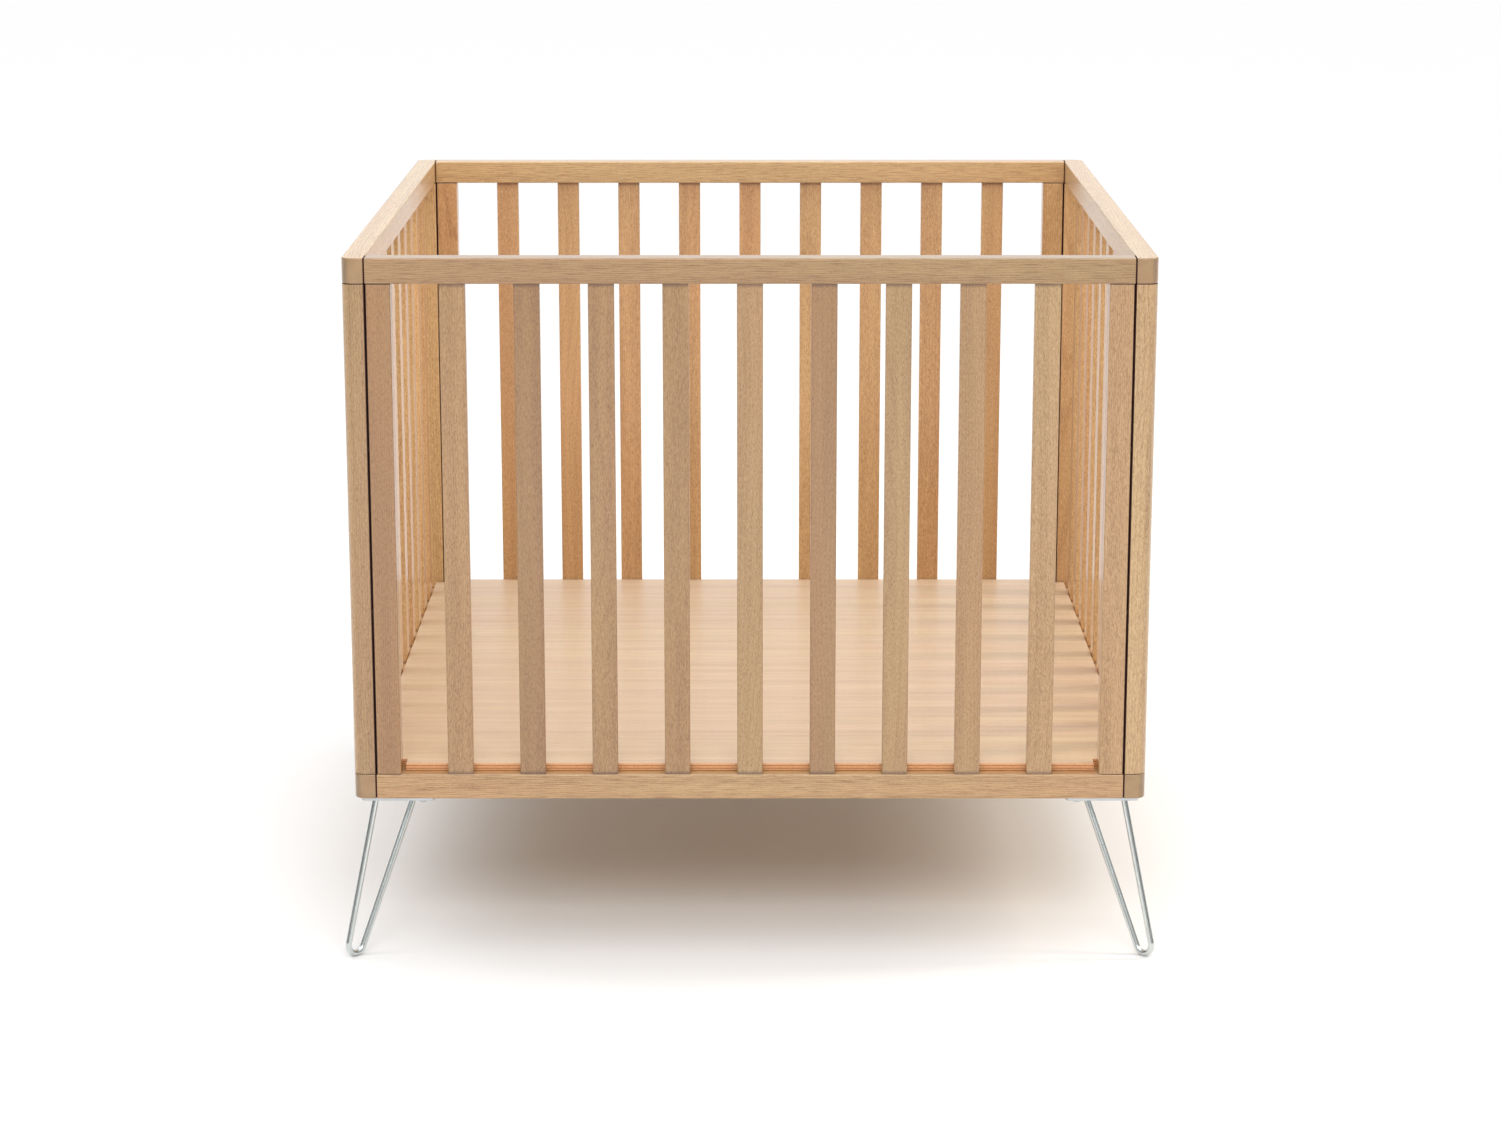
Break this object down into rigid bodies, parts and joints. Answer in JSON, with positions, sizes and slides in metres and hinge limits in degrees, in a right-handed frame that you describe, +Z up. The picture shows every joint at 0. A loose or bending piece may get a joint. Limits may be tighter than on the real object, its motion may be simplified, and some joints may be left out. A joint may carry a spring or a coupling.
{
  "type": "playpen",
  "caption": "Square slatted wooden playpen with an open top and a flat base board, raised on bent steel hairpin legs at its corners.",
  "frame": {"origin": "on the floor under the middle of the pen", "axes": "+Z up, the front faces -Y, +X to the right seen from the front"},
  "size_m": [1.03, 1.0652, 0.896],
  "materials": {
    "beech": "satin clear lacquer, grain along each bar",
    "slat_beech": "satin clear lacquer, grain upright",
    "plywood": "satin clear lacquer, layered edges",
    "leg_steel": "polished chrome",
    "fixing_steel": "bright zinc",
    "hidden_wood": "raw planed"
  },
  "bodies": {
    "pen": {"back_bottom_rail": "beech", "back_left_stile": "beech", "back_right_stile": "beech", "back_slat_1": "slat_beech", "back_slat_2": "slat_beech", "back_slat_3": "slat_beech", "back_slat_4": "slat_beech", "back_slat_5": "slat_beech", "back_slat_6": "slat_beech", "back_slat_7": "slat_beech", "back_slat_8": "slat_beech", "back_slat_9": "slat_beech", "back_top_rail": "beech", "barrel_nuts": "fixing_steel", "corner_block_back_left": "hidden_wood", "corner_block_back_right": "hidden_wood", "corner_block_front_left": "hidden_wood", "corner_block_front_right": "hidden_wood", "corner_dowels": "hidden_wood", "front_bottom_rail": "beech", "front_left_stile": "beech", "front_right_stile": "beech", "front_slat_1": "slat_beech", "front_slat_2": "slat_beech", "front_slat_3": "slat_beech", "front_slat_4": "slat_beech", "front_slat_5": "slat_beech", "front_slat_6": "slat_beech", "front_slat_7": "slat_beech", "front_slat_8": "slat_beech", "front_slat_9": "slat_beech", "front_top_rail": "beech", "hairpin_rod_back_left": "leg_steel", "hairpin_rod_back_right": "leg_steel", "hairpin_rod_front_left": "leg_steel", "hairpin_rod_front_right": "leg_steel", "left_back_stile": "beech", "left_bottom_rail": "beech", "left_front_stile": "beech", "left_slats": "slat_beech", "left_top_rail": "beech", "leg_plate_back_left": "leg_steel", "leg_plate_back_right": "leg_steel", "leg_plate_front_left": "leg_steel", "leg_plate_front_right": "leg_steel", "leg_screws": "fixing_steel", "panel_bolts": "fixing_steel", "rail_dowels": "hidden_wood", "right_back_stile": "beech", "right_bottom_rail": "beech", "right_front_stile": "beech", "right_slats": "slat_beech", "right_top_rail": "beech"},
    "board": {"base_board": "plywood"}
  },
  "joints": [
    {"name": "board_lift", "type": "slide", "parent": "pen", "child": "board", "axis": [0, 0, 1], "range_m": [0, 0.61]}
  ]
}
